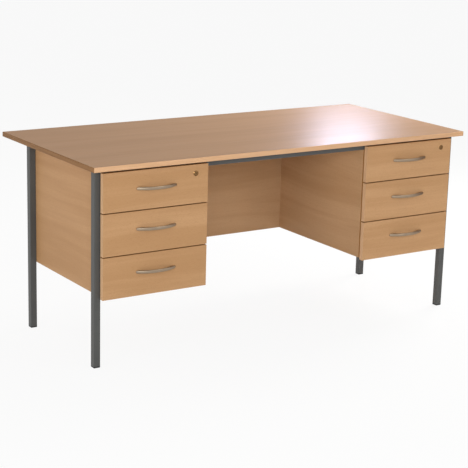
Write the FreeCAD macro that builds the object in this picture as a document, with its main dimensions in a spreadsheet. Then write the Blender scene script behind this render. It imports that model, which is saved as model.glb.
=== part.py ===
import FreeCAD, Part
import os
import re
import Sketcher

# Driving sizes in millimetres, one for each size that can be set by itself
SIZES = {
    "desk_length": 1650,  # worktop from end to end, with its edging
    "desk_depth": 750,  # worktop from front to back, with its edging
    "desk_height": 730,  # floor to the working surface
    "top_thickness": 18,
    "edging_thickness": 2,
    "board_thickness": 18,  # pedestal sides, pedestal bases and modesty panel
    "tube_side": 25,  # square tube of the legs and rails
    "tube_wall": 1.5,
    "tube_corner": 2,  # outer corner radius of the tube
    "leg_inset_side": 24,  # worktop's end to the outer face of a leg
    "leg_inset_front": 42,  # worktop's front edge to the front legs
    "leg_inset_rear": 165,  # worktop's back edge to the rear legs
    "foot_height": 6,  # part of a foot that shows under its leg
    "foot_plug": 18,  # part of a foot inside its leg
    "foot_chamfer": 1.2,
    "foot_clearance": 0.2,
    "pedestal_width": 420,
    "front_thickness": 18,
    "front_top_gap": 10,  # worktop's underside to the upper drawer front
    "front_gap": 4,  # between one drawer front and the next
    "front_clearance": 5,  # between a drawer front and the pedestal behind it
    "front_inner_inset": 1.5,  # knee side of the right pedestal to the edge of its drawer fronts
    "front_outer_lap": 3.5,  # left drawer fronts over the leg beside them
    "front_overhang": 7,  # lowest drawer front hangs this far below the pedestal
    "upper_front_height": 140,
    "lower_front_height": 151,
    "box_wall": 12,
    "box_top_gap": 12,  # between the upper drawer box and the front rail
    "box_rear_gap": 49,  # between a drawer box and the modesty panel
    "box_side_gap": 1.5,  # between a drawer box and the pedestal side
    "box_floor_gap": 5,  # between the lowest drawer box and the pedestal base
    "tray_thickness": 3,  # sheet that forms the floor of a drawer
    "tray_lift": 10,  # lower edge of a drawer box to its floor
    "tray_groove": 6,  # depth of the groove that holds the floor
    "tray_clearance": 0.2,
    "runner_height": 16,
    "runner_setback": 4,  # front of the pedestal to a runner
    "runner_rear_gap": 69,  # between a runner and the modesty panel
    "runner_lift": 32,  # lower edge of a drawer box to its runner
    "runner_groove": 7,  # depth of the groove that slides on the runner
    "runner_clearance": 0.3,
    "handle_length": 160,
    "handle_centres": 128,  # between the two handle screws
    "handle_projection": 24,
    "handle_strip": 6,  # thickness of the bow at its middle
    "handle_foot": 22,  # length of each foot against the drawer front
    "handle_end": 3.5,  # thickness of the bow at its two ends
    "handle_height": 11,
    "handle_round": 2.2,
    "handle_drop": 64,  # top of a drawer front to the middle of its handle
    "handle_screw_grip": 5,  # length of a screw inside the handle
    "screw_diameter": 4,
    "screw_head_diameter": 8,
    "screw_head_height": 2.5,
    "hole_clearance": 0.25,  # all round a screw or barrel that passes through
    "thread_clearance": 0.05,  # all round a screw that bites
    "hole_end_clearance": 0.5,  # past the end of a screw
    "lock_side_gap": 6,  # least gap between the lock's nut and the drawer box
    "lock_drop": 32,  # top of a drawer front to the lock
    "lock_collar_diameter": 20,
    "lock_collar_thickness": 2,
    "lock_collar_chamfer": 0.8,
    "lock_barrel_diameter": 16,
    "lock_reach": 14,  # barrel behind the drawer front
    "lock_nut_diameter": 23,  # across the corners
    "lock_nut_thickness": 4,
    "plug_diameter": 11,
    "plug_clearance": 0.08,
    "plug_recess": 0.4,  # face of the plug behind the face of the collar
    "plug_tail_diameter": 7,
    "plug_tail_end": 1.5,  # tail that shows behind the cam
    "keyway_width": 1.8,
    "keyway_height": 7,
    "keyway_depth": 9,
    "cam_length": 28,  # lock's axis to the tip of the cam
    "cam_width": 12,
    "cam_thickness": 2,
    "cam_gap": 0.3,
    "cam_slot_clearance": 1.5,
    "bolt_diameter": 6,
    "bolt_head_diameter": 13,
    "bolt_head_height": 3,
    "bolt_reach": 8,  # bolt past the wall of the leg
    "top_screw_inset": 150,  # end of a rail to its first screw
    "top_screw_grip": 12,  # length of a rail's screw inside the worktop
    "panel_screw_inset": 70,  # modesty panel's edge to its screws
    "panel_screw_grip": 27,  # length of a panel screw inside a pedestal side
    "panel_cap_diameter": 12,
    "panel_cap_height": 1.6,
    "block_length": 40,
    "block_width": 18,
    "block_height": 18,
    "block_inset": 110,  # end of a pedestal side to its fixing block
}

# Places and lengths that follow from the driving sizes
PLACES = {
    "underside": "desk_height - top_thickness",
    "leg_inner_face": "desk_length / 2 - leg_inset_side - tube_side",
    "rail_length": "2 * leg_inner_face",
    "rail_bottom": "underside - tube_side",
    "frame_front": "leg_inset_front - desk_depth / 2",
    "frame_rear": "desk_depth / 2 - leg_inset_rear",
    "frame_depth": "frame_rear - frame_front",
    "rear_leg_front": "frame_rear - tube_side",
    "left_start": "-leg_inner_face",
    "right_start": "leg_inner_face - pedestal_width",
    "pedestal_inside": "pedestal_width - 2 * board_thickness",
    "front_back": "frame_front - front_clearance",
    "front_face": "front_back - front_thickness",
    "front_width": "pedestal_width",
    "left_front_start": "left_start - front_outer_lap",
    "right_front_start": "right_start + front_inner_inset",
    "upper_top": "underside - front_top_gap",
    "upper_bottom": "upper_top - upper_front_height",
    "middle_top": "upper_bottom - front_gap",
    "middle_bottom": "middle_top - lower_front_height",
    "lower_top": "middle_bottom - front_gap",
    "lower_bottom": "lower_top - lower_front_height",
    "pedestal_bottom": "lower_bottom + front_overhang",
    "pedestal_height": "underside - pedestal_bottom",
    "box_lift": "front_overhang + board_thickness + box_floor_gap",
    "box_height": "rail_bottom - box_top_gap - upper_bottom - box_lift",
    "box_depth": "frame_rear - front_back - box_rear_gap",
    "box_width": "pedestal_inside - 2 * box_side_gap",
    "box_inside": "box_width - 2 * box_wall",
    "tray_top": "tray_lift + tray_thickness + tray_clearance",
    "runner_reach": "box_side_gap + runner_groove - runner_clearance",
    "runner_length": "frame_depth - runner_setback - runner_rear_gap",
    "lock_wall": "front_inner_inset + board_thickness + box_side_gap + box_wall",
    "lock_inset": "lock_wall + lock_side_gap + lock_nut_diameter / 2",
    "lock_height": "upper_top - lock_drop",
    "lock_front": "front_face - lock_collar_thickness",
    "barrel_radius": "lock_barrel_diameter / 2",
    "barrel_end": "front_back + lock_reach",
    "cam_front": "barrel_end + cam_gap",
    "cam_back": "cam_front + cam_thickness",
    "cam_slot": "cam_length + cam_width / 2 + 2 * cam_slot_clearance",
    "bolt_radius": "bolt_diameter / 2",
    "screw_radius": "screw_diameter / 2",
    "upper_bolts": "(upper_bottom + middle_bottom + 2 * box_lift + box_height) / 2",
    "lower_bolts": "(middle_bottom + lower_bottom + 2 * box_lift + box_height) / 2",
    "upper_panel_screws": "underside - panel_screw_inset",
    "lower_panel_screws": "pedestal_bottom + panel_screw_inset",
}

PEDESTALS = ("left", "right")
DRAWER_ROWS = ("upper", "middle", "lower")
TOP_SCREWS_PER_RAIL = 4
LEG_BOLT_HEIGHTS = ("upper_bolts", "lower_bolts")
PANEL_SCREW_HEIGHTS = ("upper_panel_screws", "lower_panel_screws")

# Turns that point a piece's own Z axis another way
UPRIGHT = FreeCAD.Rotation()
ALONG_X = FreeCAD.Rotation(FreeCAD.Vector(0, 1, 0), 90)
AGAINST_X = FreeCAD.Rotation(FreeCAD.Vector(0, 1, 0), -90)
ALONG_Y = FreeCAD.Rotation(FreeCAD.Vector(1, 0, 0), -90)
AGAINST_Y = FreeCAD.Rotation(FreeCAD.Vector(1, 0, 0), 90)
HALF_TURN = FreeCAD.Rotation(FreeCAD.Vector(0, 0, 1), 180)

doc = FreeCAD.newDocument("PedestalDesk")
sheet = doc.addObject("Spreadsheet::Sheet", "Sizes")
for row, (alias, value) in enumerate(SIZES.items(), start=1):
    sheet.set(f"A{row}", alias.replace("_", " "))
    sheet.set(f"B{row}", str(value))
    sheet.setAlias(f"B{row}", alias)
doc.recompute()

nodes = {}


def formula(text):
    """Spell a formula of named sizes and places out in cells of the sheet."""

    def spell(match):
        word = match.group()
        if word in PLACES:
            return f"({formula(PLACES[word])})"
        return f"Sizes.{word}"

    return re.sub(r"[a-z][a-z0-9_]*", spell, str(text))


def bind(item, **formulas):
    """Tie properties of an object to formulas of the sheet."""
    for name, text in formulas.items():
        item.setExpression(name, formula(text))


def place(item, corner, turn=UPRIGHT):
    """Turn an object and tie its origin to three formulas."""
    item.Placement = FreeCAD.Placement(FreeCAD.Vector(), turn)
    for axis, text in zip("xyz", corner):
        item.setExpression(f"Placement.Base.{axis}", formula(text))


def box(corner, size):
    """A block with its lowest corner at the corner given."""
    item = doc.addObject("Part::Box", "Block")
    bind(item, Length=size[0], Width=size[1], Height=size[2])
    place(item, corner)
    return item


def cylinder(start, radius, length, turn=UPRIGHT):
    """A round bar that starts at a point and runs along the turned Z axis."""
    item = doc.addObject("Part::Cylinder", "Round")
    bind(item, Radius=radius, Height=length)
    place(item, start, turn)
    return item


def fuse(items):
    """One solid made of several that meet."""
    item = doc.addObject("Part::MultiFuse", "Joined")
    item.Shapes = items
    return item


def group(items):
    """Several separate solids held as one object."""
    item = doc.addObject("Part::Compound", "Group")
    item.Links = items
    return item


def cut(base, tools):
    """A solid with the tools taken out of it."""
    item = doc.addObject("Part::Cut", "Worked")
    item.Base = base
    item.Tool = tools[0] if len(tools) == 1 else group(tools)
    return item


def node(name, item):
    """Name an object as one sub-part of the desk."""
    item.Label = name
    nodes[name] = item
    return item


def screw(seat, grip, turn, radius="screw_radius", head_radius="screw_head_diameter / 2",
          head_height="screw_head_height", step=(0, 0, 0)):
    """A screw whose shank runs from its seat along the turn, with its head on the other side."""
    shank = cylinder(seat, radius, grip, turn)
    head_start = [f"{place_of} - ({way}) * ({head_height})" for place_of, way in zip(seat, step)]
    head = cylinder(head_start, head_radius, head_height, turn)
    return fuse([shank, head])


def sketch_on(body, role):
    """A sketch on one of a body's own origin planes."""
    sketch = body.newObject("Sketcher::SketchObject", "Sketch")
    plane = next(item for item in body.Origin.OriginFeatures if item.Role == role)
    sketch.AttachmentSupport = [(plane, "")]
    sketch.MapMode = "FlatFace"
    return sketch


def value_of(text):
    """The number that a formula gives with the sheet as it stands."""
    return float(sheet.evalExpression(formula(text)))


def pin_point(sketch, edge, end, across, up):
    """Tie one end of a sketch edge to two formulas, measured from the sketch's origin."""
    for kind, axis, text in (("DistanceX", -2, across), ("DistanceY", -1, up)):
        if text == 0:
            sketch.addConstraint(Sketcher.Constraint("PointOnObject", edge, end, axis))
            continue
        index = sketch.addConstraint(Sketcher.Constraint(kind, -1, 1, edge, end, value_of(text)))
        sketch.setExpression(f"Constraints[{index}]", formula(text))


def outline(sketch, corners):
    """A closed outline of straight edges through corners given as pairs of formulas."""
    points = [FreeCAD.Vector(value_of(across), value_of(up), 0) for across, up in corners]
    first = sketch.GeometryCount
    last = first + len(corners) - 1
    for start, end in zip(points, points[1:] + points[:1]):
        sketch.addGeometry(Part.LineSegment(start, end))
    for edge in range(first, last + 1):
        following = first if edge == last else edge + 1
        sketch.addConstraint(Sketcher.Constraint("Coincident", edge, 2, following, 1))
    for edge, (across, up) in zip(range(first, last + 1), corners):
        pin_point(sketch, edge, 1, across, up)


def rectangle(sketch, low, high):
    """A rectangle between two corners."""
    outline(sketch, [low, (high[0], low[1]), high, (low[0], high[1])])


def circle(sketch, across, up, radius):
    """A circle about a centre given as two formulas."""
    centre = FreeCAD.Vector(value_of(across), value_of(up), 0)
    edge = sketch.addGeometry(Part.Circle(centre, FreeCAD.Vector(0, 0, 1), value_of(radius)))
    pin_point(sketch, edge, 3, across, up)
    index = sketch.addConstraint(Sketcher.Constraint("Radius", edge, value_of(radius)))
    sketch.setExpression(f"Constraints[{index}]", formula(radius))


def pad(body, sketch, length):
    """Material on a sketch, along its normal."""
    feature = body.newObject("PartDesign::Pad", "Pad")
    feature.Profile = sketch
    bind(feature, Length=length)
    doc.recompute()
    return feature


def pocket(body, sketch, depth, reverse=False):
    """Material taken away behind a sketch, with a test that some of it went."""
    before = body.Shape.Volume
    feature = body.newObject("PartDesign::Pocket", "Pocket")
    feature.Profile = sketch
    feature.Reversed = reverse
    bind(feature, Length=depth)
    doc.recompute()
    if not body.Shape.Volume < before:
        raise RuntimeError(f"{feature.Name} took nothing away")
    return feature


def edge_names(shape, wanted):
    """Names of the edges whose ends all pass a test."""
    return [f"Edge{index}" for index, edge in enumerate(shape.Edges, start=1)
            if all(wanted(vertex.Point) for vertex in edge.Vertexes)]


def dress(body, kind, base, edges, **formulas):
    """Round or chamfer some edges of a body's last feature."""
    feature = body.newObject(f"PartDesign::{kind}", kind)
    feature.Base = (base, edges)
    bind(feature, **formulas)
    doc.recompute()
    return feature


def corner_edges(shape, side):
    """The upright edges at the four outer corners of a square bar."""

    def at_corner(point):
        return all(min(abs(value), abs(value - side)) < 1e-6 for value in (point.x, point.y))

    upright = []
    for index, edge in enumerate(shape.Edges, start=1):
        low, high = edge.BoundBox.ZMin, edge.BoundBox.ZMax
        if high - low > 1e-6 and all(at_corner(vertex.Point) for vertex in edge.Vertexes):
            upright.append(f"Edge{index}")
    return upright


def square_tube(length):
    """A square tube that stands on its own XY plane, with its corner at the origin."""
    body = doc.addObject("PartDesign::Body", "Tube")
    section = sketch_on(body, "XY_Plane")
    rectangle(section, (0, 0), ("tube_side", "tube_side"))
    far_wall = "tube_side - tube_wall"
    rectangle(section, ("tube_wall", "tube_wall"), (far_wall, far_wall))
    wall = pad(body, section, length)
    dress(body, "Fillet", wall, corner_edges(wall.Shape, value_of("tube_side")), Radius="tube_corner")
    return body


def make_worktop():
    """The board, its edging and the pilot holes for the rails' screws."""
    width = "desk_length - 2 * edging_thickness"
    depth = "desk_depth - 2 * edging_thickness"
    left_edge = "-desk_length / 2"
    front_edge = "-desk_depth / 2"
    board = box((f"{left_edge} + edging_thickness", f"{front_edge} + edging_thickness", "underside"),
                (width, depth, "top_thickness"))
    pilots = [cylinder((across, along, "underside"), "screw_radius + thread_clearance",
                       "top_screw_grip + hole_end_clearance")
              for across, along in top_screw_places()]
    node("top_board", cut(board, pilots))
    long_strip = ("desk_length", "edging_thickness", "top_thickness")
    end_strip = ("edging_thickness", depth, "top_thickness")
    end_start = f"{front_edge} + edging_thickness"
    node("top_edging", group([
        box((left_edge, front_edge, "underside"), long_strip),
        box((left_edge, "desk_depth / 2 - edging_thickness", "underside"), long_strip),
        box((left_edge, end_start, "underside"), end_strip),
        box(("desk_length / 2 - edging_thickness", end_start, "underside"), end_strip),
    ]))


def top_screw_places():
    """Where the rails are screwed to the worktop."""
    pitch = f"(rail_length - 2 * top_screw_inset) / {TOP_SCREWS_PER_RAIL - 1}"
    return [(f"leg_inner_face - top_screw_inset - {step} * {pitch}", f"{front} + tube_side / 2")
            for front in ("frame_front", "rear_leg_front")
            for step in range(TOP_SCREWS_PER_RAIL)]


def make_leg(name, front, turn, near_corner):
    """One leg, its bolt holes on the side of the pedestal."""
    body = square_tube("underside - foot_height")
    holes = sketch_on(body, "YZ_Plane")
    for height in LEG_BOLT_HEIGHTS:
        circle(holes, "tube_side / 2", f"{height} - foot_height", "bolt_radius + thread_clearance")
    pocket(body, holes, "tube_side / 2", reverse=True)
    place(body, (near_corner, front, "foot_height"), turn)
    node(name, body)


def make_legs():
    """Four legs of square tube."""
    for depth_name, front in (("front", "frame_front"), ("rear", "rear_leg_front")):
        make_leg(f"{depth_name}_right_leg", front, UPRIGHT, "leg_inner_face")
        make_leg(f"{depth_name}_left_leg", f"{front} + tube_side", HALF_TURN, "-leg_inner_face")


def make_foot(left, front):
    """A plastic foot with a flange under the tube and a plug inside it."""
    body = doc.addObject("PartDesign::Body", "Foot")
    square = sketch_on(body, "XY_Plane")
    rectangle(square, (0, 0), ("tube_side", "tube_side"))
    flange = pad(body, square, "foot_height")
    side = value_of("tube_side")
    rounded = dress(body, "Fillet", flange, corner_edges(flange.Shape, side), Radius="tube_corner")
    rim = edge_names(rounded.Shape, lambda point: point.z < 1e-6)
    dress(body, "Chamfer", rounded, rim, Size="foot_chamfer")
    core = sketch_on(body, "XY_Plane")
    near_side = "tube_wall + foot_clearance"
    far_side = "tube_side - tube_wall - foot_clearance"
    rectangle(core, (near_side, near_side), (far_side, far_side))
    pad(body, core, "foot_height + foot_plug")
    place(body, (left, front, 0))
    return body


def make_feet():
    """A foot in each leg."""
    node("leg_feet", group([
        make_foot(left, front)
        for left in ("-leg_inner_face - tube_side", "leg_inner_face")
        for front in ("frame_front", "rear_leg_front")
    ]))


def make_rail(name, front, slots):
    """A rail from leg to leg, drilled for its screws and slotted under each lock."""
    body = square_tube("rail_length")
    drilled = sketch_on(body, "YZ_Plane")
    pitch = f"(rail_length - 2 * top_screw_inset) / {TOP_SCREWS_PER_RAIL - 1}"
    for step in range(TOP_SCREWS_PER_RAIL):
        circle(drilled, "tube_side / 2", f"top_screw_inset + {step} * {pitch}",
               "screw_radius + hole_clearance")
    pocket(body, drilled, "2 * tube_side", reverse=True)
    if slots:
        slotted = sketch_on(body, "YZ_Plane")
        for lock in slots:
            low_end = f"leg_inner_face - ({lock}) - cam_width / 2 - cam_slot_clearance"
            rectangle(slotted,
                      ("cam_front - frame_front - cam_slot_clearance", low_end),
                      ("cam_back - frame_front + cam_slot_clearance", f"{low_end} + cam_slot"))
        pocket(body, slotted, "tube_side / 2", reverse=True)
    place(body, ("leg_inner_face", front, "rail_bottom"), AGAINST_X)
    node(name, body)


def lock_across(pedestal):
    """Where a pedestal's lock lies along the desk."""
    return f"{pedestal}_front_start + front_width - lock_inset"


def make_frame():
    """Legs, feet, rails and the screws that hold the worktop down."""
    make_legs()
    make_feet()
    make_rail("front_rail", "frame_front", [lock_across(pedestal) for pedestal in PEDESTALS])
    make_rail("rear_rail", "rear_leg_front", [])
    node("top_screws", group([
        screw((across, along, "rail_bottom"), "tube_side + top_screw_grip", UPRIGHT, step=(0, 0, 1))
        for across, along in top_screw_places()
    ]))


def make_side(name, start, bolted):
    """A pedestal side, notched for both rails and drilled for its bolts and panel screws."""
    board = box((start, "frame_front", "pedestal_bottom"), ("board_thickness", "frame_depth", "pedestal_height"))
    notch = ("board_thickness", "tube_side + hole_clearance", "tube_side + hole_clearance")
    notch_bottom = "rail_bottom - hole_clearance"
    cuts = [
        box((start, "frame_front", notch_bottom), notch),
        box((start, "rear_leg_front - hole_clearance", notch_bottom), notch),
    ]
    for height in PANEL_SCREW_HEIGHTS:
        cuts.append(cylinder((f"{start} + board_thickness / 2", "frame_rear", height),
                             "screw_radius + thread_clearance",
                             "panel_screw_grip + hole_end_clearance", AGAINST_Y))
    if bolted:
        for front in ("frame_front", "rear_leg_front"):
            for height in LEG_BOLT_HEIGHTS:
                cuts.append(cylinder((start, f"{front} + tube_side / 2", height),
                                     "bolt_radius + hole_clearance", "board_thickness", ALONG_X))
    node(name, cut(board, cuts))


def make_runners(pedestal):
    """A pair of runner strips for each drawer, on the inner faces of the sides."""
    near_face = f"{pedestal}_start + board_thickness"
    far_face = f"{near_face} + pedestal_inside - runner_reach"
    strip = ("runner_reach", "runner_length", "runner_height")
    node(f"{pedestal}_runners", group([
        box((face, "frame_front + runner_setback", f"{row}_bottom + box_lift + runner_lift"), strip)
        for row in DRAWER_ROWS
        for face in (near_face, far_face)
    ]))


def make_pedestal(pedestal):
    """Two sides, a base and the runners, open at the front and closed behind by the panel."""
    start = f"{pedestal}_start"
    far_start = f"{start} + pedestal_width - board_thickness"
    near_name, far_name = ("outer", "inner") if pedestal == "left" else ("inner", "outer")
    make_side(f"{pedestal}_{near_name}_side", start, near_name == "outer")
    make_side(f"{pedestal}_{far_name}_side", far_start, far_name == "outer")
    node(f"{pedestal}_pedestal_base", box((f"{start} + board_thickness", "frame_front", "pedestal_bottom"),
                                          ("pedestal_inside", "frame_depth", "board_thickness")))
    make_runners(pedestal)


def side_starts():
    """Where the four pedestal sides begin along the desk."""
    return [f"{pedestal}_start + {offset}" for pedestal in PEDESTALS
            for offset in ("0", "pedestal_width - board_thickness")]


def make_modesty_panel():
    """One panel across both pedestals and the knee space, and the capped screws that hold it."""
    board = box(("-leg_inner_face", "frame_rear", "pedestal_bottom"),
                ("rail_length", "board_thickness", "pedestal_height"))
    screw_seats = [(f"{start} + board_thickness / 2", "frame_rear + board_thickness", height)
                   for start in side_starts() for height in PANEL_SCREW_HEIGHTS]
    node("modesty_panel", cut(board, [
        cylinder(seat, "screw_radius + hole_clearance", "board_thickness", AGAINST_Y)
        for seat in screw_seats
    ]))
    node("panel_screws", group([
        screw(seat, "board_thickness + panel_screw_grip", AGAINST_Y,
              head_radius="panel_cap_diameter / 2", head_height="panel_cap_height", step=(0, -1, 0))
        for seat in screw_seats
    ]))


def make_leg_bolts():
    """Bolts from inside each pedestal, through its outer side and into the legs."""
    grip = "board_thickness + tube_wall + bolt_reach"
    inner_face = "leg_inner_face - board_thickness"
    node("leg_bolts", group([
        screw((across, f"{front} + tube_side / 2", height), grip, turn, "bolt_radius",
              "bolt_head_diameter / 2", "bolt_head_height", step)
        for across, turn, step in ((f"-({inner_face})", AGAINST_X, (-1, 0, 0)),
                                   (inner_face, ALONG_X, (1, 0, 0)))
        for front in ("frame_front", "rear_leg_front")
        for height in LEG_BOLT_HEIGHTS
    ]))


def make_fixing_blocks():
    """Blocks in the corner between each pedestal side and the worktop."""
    size = ("block_width", "block_length", "block_height")
    blocks = []
    for pedestal in PEDESTALS:
        near_face = f"{pedestal}_start + board_thickness"
        far_face = f"{near_face} + pedestal_inside - block_width"
        for across in (near_face, far_face):
            for along in ("frame_front + block_inset", "frame_rear - block_inset - block_length"):
                blocks.append(box((across, along, "underside - block_height"), size))
    node("fixing_blocks", group(blocks))


def handle_places(pedestal, row):
    """Where a drawer's two handle screws lie on its front."""
    middle = f"{pedestal}_front_start + front_width / 2"
    height = f"{row}_top - handle_drop"
    return [(f"{middle} + ({way}) * handle_centres / 2", height) for way in (-1, 1)]


def make_drawer_front(name, pedestal, row):
    """A drawer front, drilled for its handle and, at the top, for its lock."""
    height = "upper_front_height" if row == DRAWER_ROWS[0] else "lower_front_height"
    board = box((f"{pedestal}_front_start", "front_face", f"{row}_bottom"),
                ("front_width", "front_thickness", height))
    holes = [cylinder((across, "front_face", up), "screw_radius + hole_clearance", "front_thickness", ALONG_Y)
             for across, up in handle_places(pedestal, row)]
    if row == DRAWER_ROWS[0]:
        holes.append(cylinder((lock_across(pedestal), "front_face", "lock_height"),
                              "barrel_radius + hole_clearance", "front_thickness", ALONG_Y))
    node(f"{name}_front", cut(board, holes))


def make_drawer_box(name, left, bottom):
    """Two grooved sides and a back, and the sheet that slides into them as a floor."""
    groove_bottom = f"{bottom} + runner_lift - runner_clearance"
    groove_height = "runner_height + 2 * runner_clearance"
    tray_height = "tray_thickness + tray_clearance"
    walls = []
    for start, runner_side, tray_side in (
            (left, "0", "box_wall - tray_groove"),
            (f"{left} + box_width - box_wall", "box_wall - runner_groove", "0")):
        wall = box((start, "front_back", bottom), ("box_wall", "box_depth", "box_height"))
        walls.append(cut(wall, [
            box((f"{start} + {runner_side}", "front_back", groove_bottom),
                ("runner_groove", "box_depth", groove_height)),
            box((f"{start} + {tray_side}", "front_back", f"{bottom} + tray_lift"),
                ("tray_groove", "box_depth", tray_height)),
        ]))
    walls.append(box((f"{left} + box_wall", "front_back + box_depth - box_wall", f"{bottom} + tray_top"),
                     ("box_inside", "box_wall", "box_height - tray_top")))
    node(f"{name}_box", group(walls))
    tray_start = f"{left} + box_wall - tray_groove + tray_clearance"
    tray_width = "box_inside + 2 * (tray_groove - tray_clearance)"
    node(f"{name}_floor", box((tray_start, "front_back", f"{bottom} + tray_lift"),
                              (tray_width, "box_depth", "tray_thickness")))


def bow_radius(half_chord, rise):
    """Radius of an arc from half its chord and its rise."""
    return f"(({half_chord}) ^ 2 + ({rise}) ^ 2) / (2 * ({rise}))"


def arc_between(sketch, start, end, rise):
    """An arc between two corners on one level, tied to the radius that its rise gives."""
    left, right = (FreeCAD.Vector(value_of(across), value_of(up), 0) for across, up in (start, end))
    crown = (left + right) / 2 + FreeCAD.Vector(0, value_of(rise), 0)
    edge = sketch.addGeometry(Part.Arc(right, crown, left))
    radius = bow_radius(f"({end[0]} - ({start[0]})) / 2", rise)
    index = sketch.addConstraint(Sketcher.Constraint("Radius", edge, value_of(radius)))
    sketch.setExpression(f"Constraints[{index}]", formula(radius))
    return edge


def make_handle(name, pedestal, row):
    """A bow of flat strip with a foot at each end, rounded along its edges and tapped for two screws."""
    body = doc.addObject("PartDesign::Body", "Handle")
    plan = sketch_on(body, "XY_Plane")
    far = "handle_length"
    near_foot = ("handle_foot", 0)
    far_foot = (f"{far} - handle_foot", 0)
    near_tip = (0, "handle_end")
    far_tip = (far, "handle_end")
    chain = [[near_tip, (0, 0)], [(0, 0), near_foot], [far_foot, (far, 0)], [(far, 0), far_tip]]
    for start, end in chain:
        ends = [FreeCAD.Vector(value_of(across), value_of(up), 0) for across, up in (start, end)]
        edge = plan.addGeometry(Part.LineSegment(*ends))
        pin_point(plan, edge, 1, *start)
        pin_point(plan, edge, 2, *end)
    inner = arc_between(plan, near_foot, far_foot, "handle_projection - handle_strip")
    outer = arc_between(plan, near_tip, far_tip, "handle_projection - handle_end")
    near_end_line, near_foot_line, far_foot_line, far_end_line = range(len(chain))
    for arc, left, right in ((inner, (near_foot_line, 2), (far_foot_line, 1)),
                             (outer, (near_end_line, 1), (far_end_line, 2))):
        plan.addConstraint(Sketcher.Constraint("Coincident", arc, 2, *left))
        plan.addConstraint(Sketcher.Constraint("Coincident", arc, 1, *right))
    strip = pad(body, plan, "handle_height")
    long_edges = [f"Edge{index}" for index, edge in enumerate(strip.Shape.Edges, start=1)
                  if edge.Curve.TypeId == "Part::GeomCircle"]
    dress(body, "Fillet", strip, long_edges, Radius="handle_round")
    tapped = sketch_on(body, "XZ_Plane")
    for across in ("(handle_length - handle_centres) / 2", "(handle_length + handle_centres) / 2"):
        circle(tapped, across, "handle_height / 2", "screw_radius + thread_clearance")
    pocket(body, tapped, "handle_screw_grip + hole_end_clearance")
    place(body, (f"{pedestal}_front_start + (front_width + handle_length) / 2", "front_face",
                 f"{row}_top - handle_drop - handle_height / 2"), HALF_TURN)
    node(f"{name}_handle", body)


def make_handle_screws(name, pedestal, row):
    """Two screws through a drawer front into the feet of its handle."""
    node(f"{name}_handle_screws", group([
        screw((across, "front_back", up), "front_thickness + handle_screw_grip", AGAINST_Y, step=(0, -1, 0))
        for across, up in handle_places(pedestal, row)
    ]))


def make_drawer(pedestal, row):
    """One drawer: front, box, floor and handle."""
    name = f"{pedestal}_{row}_drawer"
    make_drawer_front(name, pedestal, row)
    make_drawer_box(name, f"{pedestal}_start + board_thickness + box_side_gap", f"{row}_bottom + box_lift")
    make_handle(name, pedestal, row)
    make_handle_screws(name, pedestal, row)


def make_lock_case(name, across):
    """A collar and barrel turned in one piece, bored for the plug."""
    body = doc.addObject("PartDesign::Body", "Case")
    section = sketch_on(body, "XZ_Plane")
    bore = "plug_diameter / 2 + plug_clearance"
    collar = "lock_collar_diameter / 2"
    end = "lock_collar_thickness + front_thickness + lock_reach"
    outline(section, [
        (bore, 0),
        (f"{collar} - lock_collar_chamfer", 0),
        (collar, "lock_collar_chamfer"),
        (collar, "lock_collar_thickness"),
        ("barrel_radius", "lock_collar_thickness"),
        ("barrel_radius", end),
        (bore, end),
    ])
    turned = body.newObject("PartDesign::Revolution", "Turned")
    turned.Profile = section
    turned.ReferenceAxis = (section, ["V_Axis"])
    turned.Angle = 360
    doc.recompute()
    place(body, (across, "lock_front", "lock_height"), ALONG_Y)
    node(f"{name}_case", body)


def make_lock_nut(name, across):
    """The six-sided nut that clamps the barrel behind the drawer front."""
    blank = doc.addObject("Part::Prism", "Hexagon")
    blank.Polygon = 6
    bind(blank, Circumradius="lock_nut_diameter / 2", Height="lock_nut_thickness")
    place(blank, (across, "front_back", "lock_height"), ALONG_Y)
    bore = cylinder((across, "front_back", "lock_height"), "barrel_radius + thread_clearance",
                    "lock_nut_thickness", ALONG_Y)
    node(f"{name}_nut", cut(blank, [bore]))


def make_lock_plug(name, across):
    """The turning plug with its keyway, and the tail that carries the cam."""
    face = "lock_front + plug_recess"
    barrel = cylinder((across, face, "lock_height"), "plug_diameter / 2", f"barrel_end - ({face})", ALONG_Y)
    tail = cylinder((across, "barrel_end", "lock_height"), "plug_tail_diameter / 2",
                    "cam_gap + cam_thickness + plug_tail_end", ALONG_Y)
    keyway = box((f"{across} - keyway_width / 2", face, "lock_height - keyway_height / 2"),
                 ("keyway_width", "keyway_depth", "keyway_height"))
    node(f"{name}_plug", cut(fuse([barrel, tail]), [keyway]))


def make_lock_cam(name, across):
    """A flat lever with round ends, pointing left while the drawer is unlocked."""
    tip = f"{across} - cam_length + cam_width / 2"
    lever = fuse([
        box((tip, "cam_front", "lock_height - cam_width / 2"),
            ("cam_length - cam_width / 2", "cam_thickness", "cam_width")),
        cylinder((tip, "cam_front", "lock_height"), "cam_width / 2", "cam_thickness", ALONG_Y),
        cylinder((across, "cam_front", "lock_height"), "cam_width / 2", "cam_thickness", ALONG_Y),
    ])
    hole = cylinder((across, "cam_front", "lock_height"), "plug_tail_diameter / 2 + thread_clearance",
                    "cam_thickness", ALONG_Y)
    node(f"{name}_cam", cut(lever, [hole]))


def make_lock(pedestal):
    """The lock in a pedestal's upper drawer."""
    name = f"{pedestal}_lock"
    across = lock_across(pedestal)
    make_lock_case(name, across)
    make_lock_nut(name, across)
    make_lock_plug(name, across)
    make_lock_cam(name, across)


def check_document():
    """Stop if any object failed or any sub-part is empty or broken."""
    for item in doc.Objects:
        if {"Invalid", "Error"} & set(item.State):
            raise RuntimeError(f"{item.Label} ({item.Name}) failed: {item.State}")
    for name, item in nodes.items():
        if item.Shape.isNull() or not item.Shape.isValid():
            raise RuntimeError(f"{name} has no valid shape")


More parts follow.
